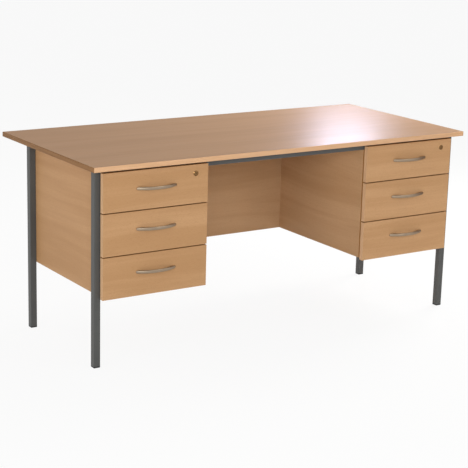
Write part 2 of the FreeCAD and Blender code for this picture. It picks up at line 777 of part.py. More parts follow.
def write_parts():
    """Write each sub-part to its own file."""
    os.makedirs("parts", exist_ok=True)
    for name, item in nodes.items():
        item.Shape.exportStep(f"parts/{name}.step")


make_worktop()
make_frame()
for side in PEDESTALS:
    make_pedestal(side)
make_modesty_panel()
make_leg_bolts()
make_fixing_blocks()
for side in PEDESTALS:
    for level in DRAWER_ROWS:
        make_drawer(side, level)
    make_lock(side)
doc.recompute()
check_document()
write_parts()
print(f"{len(nodes)} sub-parts written")
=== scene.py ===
"""Finishes, small fittings and a plain studio for a pedestal desk, laid out as an add-on."""

import math
from functools import partial

import bmesh
import bpy
from mathutils import Matrix, Vector


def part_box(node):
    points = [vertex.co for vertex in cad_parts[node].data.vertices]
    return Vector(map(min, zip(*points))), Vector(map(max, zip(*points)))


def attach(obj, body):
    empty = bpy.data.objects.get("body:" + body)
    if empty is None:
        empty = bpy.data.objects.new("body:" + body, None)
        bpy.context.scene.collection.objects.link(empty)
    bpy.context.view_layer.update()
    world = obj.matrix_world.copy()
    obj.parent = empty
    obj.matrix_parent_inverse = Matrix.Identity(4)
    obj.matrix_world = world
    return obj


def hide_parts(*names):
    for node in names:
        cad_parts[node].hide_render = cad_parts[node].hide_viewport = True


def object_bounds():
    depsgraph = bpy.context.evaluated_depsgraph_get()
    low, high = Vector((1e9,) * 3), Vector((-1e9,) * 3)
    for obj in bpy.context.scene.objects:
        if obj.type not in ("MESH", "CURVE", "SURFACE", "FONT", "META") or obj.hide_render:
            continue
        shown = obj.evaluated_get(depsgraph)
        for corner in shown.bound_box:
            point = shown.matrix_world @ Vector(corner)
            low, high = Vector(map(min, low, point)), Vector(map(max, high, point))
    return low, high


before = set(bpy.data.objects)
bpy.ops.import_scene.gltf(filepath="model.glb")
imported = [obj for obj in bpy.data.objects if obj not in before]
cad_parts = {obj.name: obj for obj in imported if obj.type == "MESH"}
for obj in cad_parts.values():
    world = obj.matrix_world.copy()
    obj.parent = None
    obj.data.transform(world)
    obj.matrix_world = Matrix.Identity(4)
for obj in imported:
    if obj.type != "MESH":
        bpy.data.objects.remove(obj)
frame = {"nodes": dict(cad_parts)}

bl_info = {
    "name": "Pedestal desk finishes",
    "version": (1, 0, 0),
    "blender": (4, 5, 0),
    "location": "View3D > Sidebar > Desk",
    "description": "Gives a pedestal desk its finishes and fittings, and sets it in a plain studio",
    "category": "Object",
}

NODES = frame["nodes"]
CAD_LOW, CAD_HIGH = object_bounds()
SIDES = ("left", "right")
WALLS = ("outer", "inner")        # a pedestal's two sides
ROWS = ("upper", "middle", "lower")
RAIL_SCREWS = 4        # screws in each rail
X_AXIS, Y_AXIS, Z_AXIS = 0, 1, 2
QUARTER_TURN, FULL_TURN = math.pi / 2, 2 * math.pi
MM = 0.001
WHITE = (1.0, 1.0, 1.0)


# Settings that a user would change


def colour(name, description, default):
    """A colour setting."""
    return bpy.props.FloatVectorProperty(name=name, description=description, default=default, size=3,
                                         subtype="COLOR", min=0.0, max=1.0)


def share(name, description, default):
    """A setting between none and all."""
    return bpy.props.FloatProperty(name=name, description=description, default=default, subtype="FACTOR",
                                   min=0.0, max=1.0)


def length(name, description, default):
    """A length setting, in metres."""
    return bpy.props.FloatProperty(name=name, description=description, default=default, subtype="DISTANCE",
                                   unit="LENGTH", min=0.0, precision=5)


def power(name, description, default):
    """A lamp's power, in watts."""
    return bpy.props.FloatProperty(name=name, description=description, default=default, subtype="POWER",
                                   unit="POWER", min=0.0)


def angle(name, description, default):
    """An angle setting, given in degrees."""
    return bpy.props.FloatProperty(name=name, description=description, default=math.radians(default),
                                   subtype="ANGLE", unit="ROTATION")


def point(name, description, default):
    """A place in the desk's frame, in metres."""
    return bpy.props.FloatVectorProperty(name=name, description=description, default=default, size=3,
                                         subtype="TRANSLATION", unit="LENGTH")


class DeskBoards(bpy.types.PropertyGroup):
    """Colours and roundings of the printed beech boards and their edging; some tones hold painted light and
    painted shade.
    """
    light: colour("Light grain", "Palest tone of the printed beech", (0.555, 0.318, 0.160))
    dark: colour("Dark grain", "Deepest tone of the printed beech", (0.482, 0.265, 0.124))
    # The knee-space tones are the same beech made paler and less saturated: painted fill light for the shaded
    # knee space.
    knee_light_painted_fill: colour("Light grain, knee space", "Palest tone of the boards round the knee space",
                       (0.56, 0.34, 0.185))
    knee_dark_painted_fill: colour("Dark grain, knee space", "Deepest tone of the boards round the knee space",
                      (0.487, 0.284, 0.144))
    fleck: colour("Flecks", "Short dark flecks in the beech", (0.38, 0.19, 0.08))
    # The edging along the front and back is paler than the beech, partly as its own colour and partly as
    # painted light along the front edge.
    edging: colour("Edging", "Plastic strip along the front and back", (0.7, 0.41, 0.228))
    edging_dark: colour("Edging streaks", "Streaks in the strip along the front and back",
                        (0.635, 0.365, 0.19))
    end_edging: colour("End edging", "Plastic strip on the two ends", (0.3, 0.155, 0.068))
    end_dark: colour("End streaks", "Streaks in the strip on the two ends", (0.25, 0.125, 0.052))
    # The edge tape is darker and more saturated than the beech: painted shade for board edges, above all
    # those seen in the gaps between the drawer fronts.
    tape_with_painted_shade: colour("Edge tape", "Tape on the edges of the other boards", (0.46, 0.225, 0.08))
    tape_streaks_with_painted_shade: colour("Tape streaks", "Streaks in the edge tape", (0.4, 0.19, 0.065))
    # The front tape is the edge tape made paler: painted light on the two ends of each drawer front.
    lit_front_tape: colour("Front tape", "Tape on the two ends of a drawer front", (0.69, 0.43, 0.25))
    lit_front_streaks: colour("Front tape streaks", "Streaks in the tape on the ends of a drawer front",
                       (0.63, 0.385, 0.215))
    board_round: length("Board rounding", "Rounding along the edges of a board", 0.7 * MM)
    edging_round: length("Edging rounding", "Rounding along the worktop's edging", 1.9 * MM)
    edging_corner: length("Worktop corner", "Rounding of the worktop's corners in plan", 3.0 * MM)


class DeskMetals(bpy.types.PropertyGroup):
    """Colours of the frame and the fittings, and sizes of the fittings."""
    frame: colour("Frame", "Powder coat on the legs and rails", (0.0755, 0.0755, 0.073))
    nickel: colour("Handles", "Satin plating on the handles", (0.34, 0.262, 0.187))
    bronze: colour("Locks", "Dark plating on the locks", (0.215, 0.115, 0.045))
    plug: colour("Lock plugs", "Plating on the plugs that turn in the locks", (0.27, 0.15, 0.065))
    zinc: colour("Screws", "Plating on screws and bolts", (0.55, 0.55, 0.53))
    bow_strip: length("Bow thickness", "Thickness of a handle's bow at its middle", 5.0 * MM)
    bow_tip: length("Tip thickness", "Thickness of a handle at its two tips", 2.6 * MM)
    bow_foot: length("Handle feet", "Length of each foot of a handle against the drawer front", 20.0 * MM)
    bow_fullness: bpy.props.FloatProperty(name="Bow fullness", default=2.4, min=2.0, max=6.0,
                                          description="Power of the curve that the bow follows")
    lock_barrel: length("Lock barrels", "Thickness of a lock's barrel behind the drawer front", 16.0 * MM)
    screw_head: length("Screw heads", "Height of a screw's head", 2.5 * MM)
    screw_shank: length("Screw shanks", "Thickness of a screw's shank", 4.0 * MM)


class DeskPlastics(bpy.types.PropertyGroup):
    """Colours of the moulded pieces and the insides of the drawers."""
    foot: colour("Feet", "Moulded feet under the legs", (0.018, 0.018, 0.018))
    runner: colour("Runners", "Moulded runner strips and fixing blocks", (0.045, 0.045, 0.045))
    cap: colour("Caps", "Moulded caps over the panel's screws", (0.42, 0.25, 0.13))
    box: colour("Drawer boxes", "Foil on the drawer boxes", (0.36, 0.36, 0.35))
    tray: colour("Drawer floors", "Faced sheet in the drawers", (0.42, 0.42, 0.41))


class DeskStage(bpy.types.PropertyGroup):
    """Camera, lamps and floor."""
    camera_place: point("Camera", "Where the camera stands", (-2.9553, -4.4903, 1.6954))
    camera_turn: angle("Turn", "Camera's heading from the depth axis towards the right", 33.27)
    camera_tilt: angle("Tilt", "Camera's slope below the horizon", 14.364)
    camera_roll: angle("Roll", "Camera's roll about its own line of sight", 1.547)
    camera_lens: bpy.props.FloatProperty(name="Lens", description="Focal length of the camera", default=107.9,
                                         subtype="DISTANCE_CAMERA", min=1.0)
    floor_colour: colour("Floor", "Pale studio floor", (0.84, 0.84, 0.84))
    floor_size: length("Floor size", "Side of the square studio floor", 80.0)
    floor_glow: share("Floor whiteness", "Share of the floor that shows plain white", 0.9)
    corner_tone: colour("Far corner", "Tone of the studio's far right corner in reflections",
                        (0.3, 0.32, 0.36))
    corner_turn: angle("Far corner's way", "Heading of the far corner from the depth axis towards the right",
                       35.0)
    card_place: length("Card", "Distance of the dark card to the right of the desk's middle", 2.2)
    card_tone: colour("Card tone", "Dark card that the handles mirror", (0.2, 0.09, 0.035))
    ambient: bpy.props.FloatProperty(name="Ambient", description="Light from all round", default=0.5, min=0.0)
    front_place: point("Front lamp's place", "Where the lamp beside the camera stands", (-2.9, -4.6, 1.9))
    front_power: power("Front lamp", "Lamp beside the camera", 79.0)
    left_place: point("Left lamp's place", "Where the lamp on the left stands", (-4.8, -2.2, 1.0))
    left_power: power("Left lamp", "Soft lamp on the left", 55.0)
    fill_place: point("Fill lamp's place", "Where the lamp at the front right stands", (2.0, -4.2, 2.2))
    fill_power: power("Fill lamp", "Soft lamp at the front right", 28.0)
    right_place: point("Right lamp's place", "Where the lamp over the right end hangs", (2.6, 0.6, 2.0))
    right_power: power("Right lamp", "Soft lamp over the right end", 66.0)
    rear_place: point("Rear lamp's place", "Where the lamp behind stands", (1.74, 1.56, 1.55))
    rear_power: power("Rear lamp", "Small lamp behind, seen as the sheen on the worktop", 8.0)
    warm: colour("Warm lamps", "Tint of the lamps on the left, at the front right and over the right end",
                 (1.0, 0.99, 0.94))
    cool: colour("Cool lamp", "Tint of the lamp beside the camera", (0.91, 0.975, 1.0))
    sheen: colour("Sheen", "Tint of the lamp behind", (0.74, 0.77, 1.0))


class DeskLooks(bpy.types.PropertyGroup):
    """All settings of the desk."""
    boards: bpy.props.PointerProperty(name="Boards", description="Beech boards", type=DeskBoards)
    metals: bpy.props.PointerProperty(name="Metals", description="Frame and fittings", type=DeskMetals)
    plastics: bpy.props.PointerProperty(name="Plastics", description="Moulded pieces", type=DeskPlastics)
    stage: bpy.props.PointerProperty(name="Stage", description="Camera, lamps and floor", type=DeskStage)


# Node trees

MIX_FACTOR, MIX_FIRST, MIX_SECOND, MIX_RESULT = 0, 6, 7, 2        # sockets of a mix node for colours
MOST_NOISE = (0.3, 0.7)        # range that holds most of a noise's values
PRINT_SHIFT = (7.3, 4.1, 5.9)        # most that the print moves along from board to board, in metres
FACING = 0.6        # least share of its normal that a face has along the axis it looks along


def add_node(tree, kind, sockets=None, **settings):
    """A node with its settings, its plain socket values and its links."""
    made = tree.nodes.new(kind)
    for name, value in settings.items():
        setattr(made, name, value)
    for key, value in (sockets or {}).items():
        if isinstance(value, bpy.types.NodeSocket):
            tree.links.new(value, made.inputs[key])
        else:
            made.inputs[key].default_value = value
    return made


def new_finish(name, **sockets):
    """A material with one shader, and the shader's plain sockets."""
    material = bpy.data.materials.new(name)
    material.use_nodes = True
    shader = material.node_tree.nodes["Principled BSDF"]
    for socket, value in sockets.items():
        shader.inputs[socket.replace("_", " ")].default_value = value
    return material, material.node_tree, shader


def per_axis(axis, own, others):
    """Three numbers: one for an axis, another for the two that are left."""
    return tuple(own if index == axis else others for index in range(3))


def even(number):
    """The same number for all three axes."""
    return number, number, number


def noise(tree, place, scale, detail=2.0, roughness=0.5):
    """Noise with a scale of its own along each axis, in features per metre."""
    mapped = add_node(tree, "ShaderNodeMapping", {"Vector": place, "Scale": scale})
    made = add_node(tree, "ShaderNodeTexNoise", {"Vector": mapped.outputs["Vector"], "Scale": 1.0,
                                                 "Detail": detail, "Roughness": roughness})
    return made.outputs


def between(tree, value, low, high, floor=0.0, top=1.0):
    """A value stretched from one range to another, held at its ends."""
    made = add_node(tree, "ShaderNodeMapRange",
                    {"Value": value, "From Min": low, "From Max": high, "To Min": floor, "To Max": top},
                    interpolation_type="SMOOTHSTEP")
    return made.outputs["Result"]


def blend_colours(tree, factor, first, second):
    """A mix of two colours."""
    made = add_node(tree, "ShaderNodeMix", data_type="RGBA")
    for socket, value in ((MIX_FACTOR, factor), (MIX_FIRST, first), (MIX_SECOND, second)):
        if isinstance(value, bpy.types.NodeSocket):
            tree.links.new(value, made.inputs[socket])
        elif socket == MIX_FACTOR:
            made.inputs[socket].default_value = value
        else:
            made.inputs[socket].default_value = (*value, 1.0)
    return made.outputs[MIX_RESULT]


def desk_place(tree):
    """A point in the desk's frame."""
    return add_node(tree, "ShaderNodeTexCoord").outputs["Object"]


def board_place(tree):
    """A point in the desk's frame, moved along by an amount of its own for each board."""
    board = add_node(tree, "ShaderNodeObjectInfo")
    shift = add_node(tree, "ShaderNodeVectorMath", {0: PRINT_SHIFT, "Scale": board.outputs["Random"]},
                     operation="SCALE")
    moved = add_node(tree, "ShaderNodeVectorMath", {0: desk_place(tree), 1: shift.outputs["Vector"]},
                     operation="ADD")
    return moved.outputs["Vector"]


def looks_along(tree, axis):
    """One on the faces that look along an axis, either way, and none on the others."""
    normal = add_node(tree, "ShaderNodeTexCoord").outputs["Normal"]
    parts = add_node(tree, "ShaderNodeSeparateXYZ", {0: normal})
    size = add_node(tree, "ShaderNodeMath", {0: parts.outputs[axis]}, operation="ABSOLUTE")
    made = add_node(tree, "ShaderNodeMath", {0: size.outputs[0], 1: FACING}, operation="GREATER_THAN")
    return made.outputs[0]


def paint(tree, shader, pattern, first, second):
    """A shader's colour, between two tones as a pattern goes."""
    tone = blend_colours(tree, between(tree, pattern, *MOST_NOISE), first, second)
    tree.links.new(tone, shader.inputs["Base Color"])


def polish(tree, shader, pattern, low, high):
    """A shader's roughness, between two values as a pattern goes."""
    tree.links.new(between(tree, pattern, *MOST_NOISE, low, high), shader.inputs["Roughness"])


def bump(tree, shader, height, strength, depth):
    """Relief on a shader's surface."""
    made = add_node(tree, "ShaderNodeBump", {"Height": height, "Strength": strength, "Distance": depth})
    tree.links.new(made.outputs["Normal"], shader.inputs["Normal"])


# Finishes

# Features per metre along one axis, such as the grain's, and along the two others
SWAY_SCALE = (1.4, 4.0)
BAND_SCALE = (0.8, 17.0)
LINE_SCALE = (3.5, 230.0)
FLECK_SCALE = (120.0, 1000.0)
TAPE_SCALE = (420.0, 9.0)
STRIP_SCALE = (420.0, 7.0)
BRUSH_SCALE = (25.0, 2600.0)
THREAD_SCALE = (60.0, 900.0)
# Values of a noise between which its pattern goes from none to all
BAND_RANGE = (0.36, 0.64)
LINE_RANGE = (0.62, 0.36)
FLECK_RANGE = (0.6, 0.72)
TAPE_RANGE = (0.35, 0.65)
STRIP_RANGE = (0.34, 0.66)
LINE_DEPTH, FLECK_DEPTH = 0.25, 0.32        # most that the lines and the flecks darken the grain
LINE_SHEEN = (-0.02, 0.03)        # change in roughness from line to line of the grain
SWAY = 0.06        # width that the grain swings over, in metres


def swaying(tree, place, grain):
    """A point that swings slowly to the sides of the grain."""
    sway = noise(tree, place, per_axis(grain, *SWAY_SCALE), detail=1.0)["Color"]
    centred = add_node(tree, "ShaderNodeVectorMath", {0: sway, 1: even(0.5)}, operation="SUBTRACT")
    made = add_node(tree, "ShaderNodeVectorMath",
                    {0: centred.outputs["Vector"], 1: per_axis(grain, 0.0, SWAY), 2: place},
                    operation="MULTIPLY_ADD")
    return made.outputs["Vector"]


def printed_grain(tree, place, grain, lines, figure, dark, light, fleck):
    """Slow bands between two tones, with fine darker lines and short flecks."""
    bands = noise(tree, place, per_axis(grain, *BAND_SCALE), detail=3.0, roughness=0.55)["Fac"]
    flecks = noise(tree, place, per_axis(grain, *FLECK_SCALE), detail=0.0)["Fac"]
    banded = between(tree, bands, *BAND_RANGE, 0.5 - 0.5 * figure, 0.5 + 0.5 * figure)
    lined = between(tree, lines, *LINE_RANGE, 0.0, LINE_DEPTH * figure)
    flecked = between(tree, flecks, *FLECK_RANGE, 0.0, FLECK_DEPTH * figure)
    tone = blend_colours(tree, banded, dark, light)
    return blend_colours(tree, flecked, blend_colours(tree, lined, tone, dark), fleck)


def beech(name, boards, grain, face, roughness=0.45, specular=0.12, figure=1.0, tones=None, ends=None):
    """Printed beech on the faces of a board, and streaked tape on its edges in darker tones of painted shade.

    The figure is the strength of the grain. Pairs of colours, dark and light, may be given for the grain
    and for the tape on its two ends, which the drawer fronts take in paler tones of painted light.
    """
    material, tree, shader = new_finish(name, Specular_IOR_Level=specular)
    place = board_place(tree)
    wavy = swaying(tree, place, grain)
    lines = noise(tree, wavy, per_axis(grain, *LINE_SCALE))["Fac"]
    dark, light = tones or (boards.dark, boards.light)
    tone = printed_grain(tree, wavy, grain, lines, figure, dark, light, boards.fleck)
    # Streaked tape on the edges, darker than the beech as painted shade.
    streaks = noise(tree, place, per_axis(face, *TAPE_SCALE))["Fac"]
    streaked = between(tree, streaks, *TAPE_RANGE)
    tape_with_painted_shade = blend_colours(tree, streaked, boards.tape_streaks_with_painted_shade, boards.tape_with_painted_shade)
    # Tape on the two ends takes a paler pair of painted light.
    if ends:
        lit_end_tape = blend_colours(tree, streaked, *ends)
        tape_with_painted_shade = blend_colours(tree, looks_along(tree, grain), tape_with_painted_shade, lit_end_tape)
    surface = blend_colours(tree, looks_along(tree, face), tape_with_painted_shade, tone)
    tree.links.new(surface, shader.inputs["Base Color"])
    polish(tree, shader, lines, *(roughness + change for change in LINE_SHEEN))
    bump(tree, shader, lines, strength=0.05, depth=0.2 * MM)
    return material


def edging_strip(name, dark, light, roughness, specular):
    """Plastic strip streaked along its length."""
    material, tree, shader = new_finish(name, Roughness=roughness, Specular_IOR_Level=specular)
    streaks = noise(tree, desk_place(tree), per_axis(Z_AXIS, *STRIP_SCALE), detail=3.0)["Fac"]
    tone = blend_colours(tree, between(tree, streaks, *STRIP_RANGE), dark, light)
    tree.links.new(tone, shader.inputs["Base Color"])
    bump(tree, shader, streaks, strength=0.05, depth=0.2 * MM)
    return material


def shaded(tint, factor):
    """A tint made paler or deeper."""
    return tuple(factor * value for value in tint)


def powder_coat(name, tint):
    """Baked powder coat with its fine pebbled skin."""
    material, tree, shader = new_finish(name, Specular_IOR_Level=0.3)
    place = desk_place(tree)
    clouds = noise(tree, place, scale=even(6.0), detail=3.0)["Fac"]
    pebbles = noise(tree, place, scale=even(1400.0), detail=1.0)["Fac"]
    paint(tree, shader, clouds, tint, shaded(tint, 1.12))
    polish(tree, shader, clouds, low=0.4, high=0.48)
    bump(tree, shader, pebbles, strength=0.25, depth=0.06 * MM)
    return material


def moulded(name, tint, roughness=0.5, unevenness=0.12):
    """Moulded plastic with a finely sparked surface."""
    material, tree, shader = new_finish(name, Specular_IOR_Level=0.4)
    place = desk_place(tree)
    sparks = noise(tree, place, scale=even(1800.0), detail=1.0)["Fac"]
    clouds = noise(tree, place, scale=even(30.0))["Fac"]
    paint(tree, shader, clouds, tint, shaded(tint, 1.25))
    polish(tree, shader, sparks, roughness - unevenness / 2, roughness + unevenness / 2)
    bump(tree, shader, sparks, strength=0.2, depth=0.05 * MM)
    return material


def plated(name, tint, roughness, brush_axis=X_AXIS, brush=0.08):
    """Plated metal, brushed along one axis."""
    material, tree, shader = new_finish(name, Metallic=1.0)
    place = desk_place(tree)
    strokes = noise(tree, place, per_axis(brush_axis, *BRUSH_SCALE))["Fac"]
    clouds = noise(tree, place, scale=even(45.0))["Fac"]
    paint(tree, shader, clouds, tint, shaded(tint, 0.88))
    polish(tree, shader, strokes, roughness - brush / 2, roughness + brush / 2)
    bump(tree, shader, strokes, strength=0.06, depth=0.03 * MM)
    return material


def foil(name, tint, roughness=0.5, unevenness=0.1):
    """Foil-faced board with a faint woven print."""
    material, tree, shader = new_finish(name, Specular_IOR_Level=0.3)
    place = desk_place(tree)
    threads = noise(tree, place, per_axis(Y_AXIS, *THREAD_SCALE), detail=1.0)["Fac"]
    clouds = noise(tree, place, scale=even(5.0))["Fac"]
    paint(tree, shader, threads, tint, shaded(tint, 1.1))
    polish(tree, shader, clouds, roughness - unevenness / 2, roughness + unevenness / 2)
    bump(tree, shader, threads, strength=0.06, depth=0.05 * MM)
    return material


# Meshes

SHARP_ANGLE = math.radians(40)        # sharper edges of a new piece stay crisp
BOARD_ANGLE = math.radians(50)        # sharper edges of a board are rounded
FLAT_ANGLE = math.radians(0.5)        # flatter edges of a board are taken out
WELD_DISTANCE = 0.01 * MM        # nearer points of a board become one
DOUBLE_DISTANCE = 0.001 * MM        # nearer points of the edging become one
ROUND_STEPS = 5        # steps of a quarter round of the edging
WORKTOP_CORNERS = ((1, 1), (-1, 1), (-1, -1), (1, -1))        # ways from the middle, from the right rear on
BOW_STEPS, SECTION_STEPS = 56, 24        # steps along a bow and round its section
BOW_TAPER, TAPER_POWER = 0.14, 4        # share of its height that a bow loses to its tips, and how late
BOW_END = 0.4        # share of that height left at the very tips
BOW_SQUARENESS = 0.5        # power that makes a bow's section fuller than an ellipse
PLUG_ROOM = 0.08 * MM        # room round a plug in its lock
COLLAR_STEPS, HEAD_STEPS = 64, 48        # steps round a lock's collar and a screw's head
COLLAR_MOUTH = (0.12, 0.25)        # shares of a collar's width and depth that its mouth's bevel takes
# Corners of a collar's outer bevel, as shares of its width from the mouth and of its depth
COLLAR_BEVEL = ((0.2, 0.03), (0.32, 0.1), (0.45, 0.23), (0.95, 0.86), (1.0, 0.93))
SHANK_POINT = 0.5        # share of a screw's thickness at its end
# Corners of a screw's domed head, as shares of its radius and height
HEAD_DOME = ((1.0, 0.45), (0.93, 0.72), (0.76, 0.92), (0.56, 1.0))
CROSS_ARM, CROSS_HALF = 0.5, 0.13        # a recess's arm and half its width, as shares of the head's radius
# Mouth and floor of a recess, as shares of its reach and of the head's height
CROSS_SINK = ((1.0, 1.0), (0.8, 0.35))


def give(node, material):
    """Put a finish on a CAD node."""
    NODES[node].material_slots[0].material = material


def soften(node, radius, segments=3):
    """Round the sharp edges of a CAD node's board with modifiers."""
    piece = NODES[node]
    weld = piece.modifiers.new("Weld", "WELD")
    weld.merge_threshold = WELD_DISTANCE
    flatten = piece.modifiers.new("Flatten", "DECIMATE")
    flatten.decimate_type = "DISSOLVE"
    flatten.angle_limit = FLAT_ANGLE
    rounding = piece.modifiers.new("Round", "BEVEL")
    rounding.width = radius
    rounding.segments = segments
    rounding.limit_method = "ANGLE"
    rounding.angle_limit = BOARD_ANGLE
    rounding.use_clamp_overlap = True
    rounding.harden_normals = True


def new_piece(name, mesh_maker, material, body, replaced):
    """A new piece from a filled bmesh, riding on a body and standing for a CAD node."""
    mesh = bpy.data.meshes.new(name)
    built = bmesh.new()
    mesh_maker(built)
    bmesh.ops.recalc_face_normals(built, faces=built.faces)
    built.to_mesh(mesh)
    built.free()
    mesh.set_sharp_from_angle(angle=SHARP_ANGLE)
    mesh.materials.append(material)
    piece = bpy.data.objects.new(name, mesh)
    bpy.context.scene.collection.objects.link(piece)
    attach(piece, body)
    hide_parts(replaced)
    return piece


def arc(start, end, steps):
    """Angles from one to another, in equal steps."""
    return [start + (end - start) * index / steps for index in range(steps + 1)]


def full_circle(steps):
    """Angles once round, in equal steps."""
    return arc(0.0, FULL_TURN, steps)[:-1]


def skin(built, loops):
    """Smooth faces from each loop of vertices to the next."""
    for here, following in zip(loops, loops[1:]):
        for index in range(len(here)):
            after = (index + 1) % len(here)
            built.faces.new((here[index], here[after], following[after], following[index])).smooth = True


def edging_ring(built, low, high, thickness, rounding, corner):
    """A strip round the worktop, rounded along its two outer edges and at the four corners."""
    outer_top = [(rounding * (1 - math.cos(turn)), high.z - rounding * (1 - math.sin(turn)))
                 for turn in arc(QUARTER_TURN, 0.0, ROUND_STEPS)]
    outer_bottom = [(rounding * (1 - math.cos(turn)), low.z + rounding * (1 - math.sin(turn)))
                    for turn in arc(0.0, QUARTER_TURN, ROUND_STEPS)]
    profile = [(thickness, high.z), *outer_top, *outer_bottom, (thickness, low.z)]
    stations = []
    for quarter, (across, along) in enumerate(WORKTOP_CORNERS):
        edge = Vector((high.x if across > 0 else low.x, high.y if along > 0 else low.y))
        inner = edge - Vector((across, along)) * thickness
        centre = edge - Vector((across, along)) * corner
        for turn in arc(quarter * QUARTER_TURN, (quarter + 1) * QUARTER_TURN, ROUND_STEPS):
            way = Vector((math.cos(turn), math.sin(turn)))
            loop = []
            for inset, height in profile:
                flat = inner if inset == thickness else centre + way * (corner - inset)
                loop.append(built.verts.new((flat.x, flat.y, height)))
            stations.append(loop)
    skin(built, [*stations, stations[0]])
    bmesh.ops.remove_doubles(built, verts=built.verts, dist=DOUBLE_DISTANCE)


def signed_power(value, exponent):
    """A power that keeps the sign of its base."""
    return math.copysign(abs(value) ** exponent, value)


def close_rings(built, rings):
    """Skin a run of rings of vertices and cap both ends."""
    skin(built, rings)
    built.faces.new(rings[0])
    built.faces.new(rings[-1])


def bow_handle(built, low, high, metals):
    """A bow of crowned strip, full in the middle and thin at the tips, with two feet on the drawer front."""
    middle = (low + high) / 2
    half = (high.x - low.x) / 2
    projection = high.y - low.y
    half_height = (high.z - low.z) / 2
    inner_half = half - metals.bow_foot
    rings = []
    for turn in arc(-QUARTER_TURN, QUARTER_TURN, BOW_STEPS):
        along = math.sin(turn)
        reach = min(1.0, abs(along) * half / inner_half)
        outer = metals.bow_tip + (projection - metals.bow_tip) * (1 - abs(along) ** metals.bow_fullness)
        inner = (projection - metals.bow_strip) * (1 - reach ** metals.bow_fullness)
        from_tip = min(1.0, (1 - abs(along)) * half / half_height)
        rounded_end = math.sqrt(1 - (1 - BOW_END ** 2) * (1 - from_tip) ** 2)
        flank = half_height * (1 - BOW_TAPER * along ** TAPER_POWER) * rounded_end
        ring = []
        for way in full_circle(SECTION_STEPS):
            fullness = signed_power(math.cos(way), BOW_SQUARENESS)
            depth = (outer + inner) / 2 + (outer - inner) / 2 * fullness
            rise = flank * signed_power(math.sin(way), BOW_SQUARENESS)
            ring.append(built.verts.new((middle.x + half * along, high.y - depth, middle.z + rise)))
        rings.append(ring)
    close_rings(built, rings)


def lock_collar(built, low, high, front, bore, barrel):
    """A lock's case turned in one piece: a bevelled collar on the drawer front, and the barrel behind it."""
    middle = (low + high) / 2
    radius = (high.z - low.z) / 2
    thickness = front - low.y
    mouth_width, mouth_depth = COLLAR_MOUTH
    lip = bore + mouth_width * (radius - bore)
    profile = [(bore, high.y), (bore, low.y + mouth_depth * thickness), (lip, low.y)]
    profile += [(lip + (radius - lip) * out, low.y + thickness * back) for out, back in COLLAR_BEVEL]
    profile += [(radius, front), (barrel, front), (barrel, high.y)]
    loops = []
    for reach, along in profile:
        rim = [(middle.x + reach * math.cos(turn), along, middle.z + reach * math.sin(turn))
               for turn in full_circle(COLLAR_STEPS)]
        loops.append([built.verts.new(spot) for spot in rim])
    skin(built, [*loops, loops[0]])


def cross_reach(turn, arm, half_width):
    """Distance from the middle to the outline of a cross, in one direction."""
    across, up = abs(math.cos(turn)), abs(math.sin(turn))
    longest, shortest = max(across, up), min(across, up)
    if shortest * arm <= half_width * longest:
        return arm / longest
    return half_width / shortest


def level_loop(reaches, turns, level):
    """Points round the upright axis at one level."""
    return [(reach * math.cos(turn), reach * math.sin(turn), level) for reach, turn in zip(reaches, turns)]


def turned_head(built, seat, way, radius, height, shank_radius, shank, recess):
    """A domed head on its seat with a shank the other way, and a cross recess where one is asked for."""
    upright = Vector(way).to_track_quat("Z", "Y").to_matrix()
    turns = full_circle(HEAD_STEPS)
    profile = [(shank_radius * SHANK_POINT, -shank), (shank_radius, shank_radius - shank)]
    profile += [(shank_radius, 0.0), (radius, 0.0)]
    profile += [(radius * out, height * up) for out, up in HEAD_DOME]
    loops = [level_loop([reach] * HEAD_STEPS, turns, level) for reach, level in profile]
    if recess:
        cross = [cross_reach(turn, radius * CROSS_ARM, radius * CROSS_HALF) for turn in turns]
        for narrowing, up in CROSS_SINK:
            loops.append(level_loop([narrowing * reach for reach in cross], turns, height * up))
    rings = [[built.verts.new(Vector(seat) + upright @ Vector(spot)) for spot in loop] for loop in loops]
    close_rings(built, rings)


def set_of_heads(built, places, **sizes):
    """Like screws or caps, one at each place."""
    for place in places:
        turned_head(built, place, **sizes)


# Operators, one for each group of like pieces


class DESK_OT_worktop(bpy.types.Operator):
    """Finish the worktop's board and lay the strip round it."""
    bl_idname = "desk.worktop"
    bl_label = "Worktop"

    def execute(self, context):
        boards = context.scene.desk_looks.boards
        top_beech = beech("worktop_beech", boards, X_AXIS, Z_AXIS, roughness=0.34, specular=0.3, figure=0.6)
        give("top_board", top_beech)
        low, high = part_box("top_edging")
        board_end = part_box("top_board")[1].x
        ring = partial(edging_ring, low=low, high=high, thickness=high.x - board_end,
                       rounding=boards.edging_round, corner=boards.edging_corner)
        # The long strip's paler tones are partly its own colour and partly painted light.
        long_strip_partly_painted_light = edging_strip("worktop_strip_partly_painted_light", boards.edging_dark, boards.edging,
                                  roughness=0.32, specular=0.35)
        end_strip = edging_strip("end_strip", boards.end_dark, boards.end_edging, roughness=0.5, specular=0.1)
        edging = new_piece("worktop_edging", ring, long_strip_partly_painted_light, "desk", "top_edging")
        edging.data.materials.append(end_strip)
        for face in edging.data.polygons:
            face.material_index = int(abs(face.center.x) > board_end)
        return {"FINISHED"}


class DESK_OT_frame(bpy.types.Operator):
    """Coat the legs and rails and blacken the feet."""
    bl_idname = "desk.frame"
    bl_label = "Frame"

    def execute(self, context):
        looks = context.scene.desk_looks
        coat = powder_coat("graphite_coat", looks.metals.frame)
        for end in ("front", "rear"):
            give(f"{end}_rail", coat)
            for side in SIDES:
                give(f"{end}_{side}_leg", coat)
        give("leg_feet", moulded("foot_plastic", looks.plastics.foot))
        return {"FINISHED"}


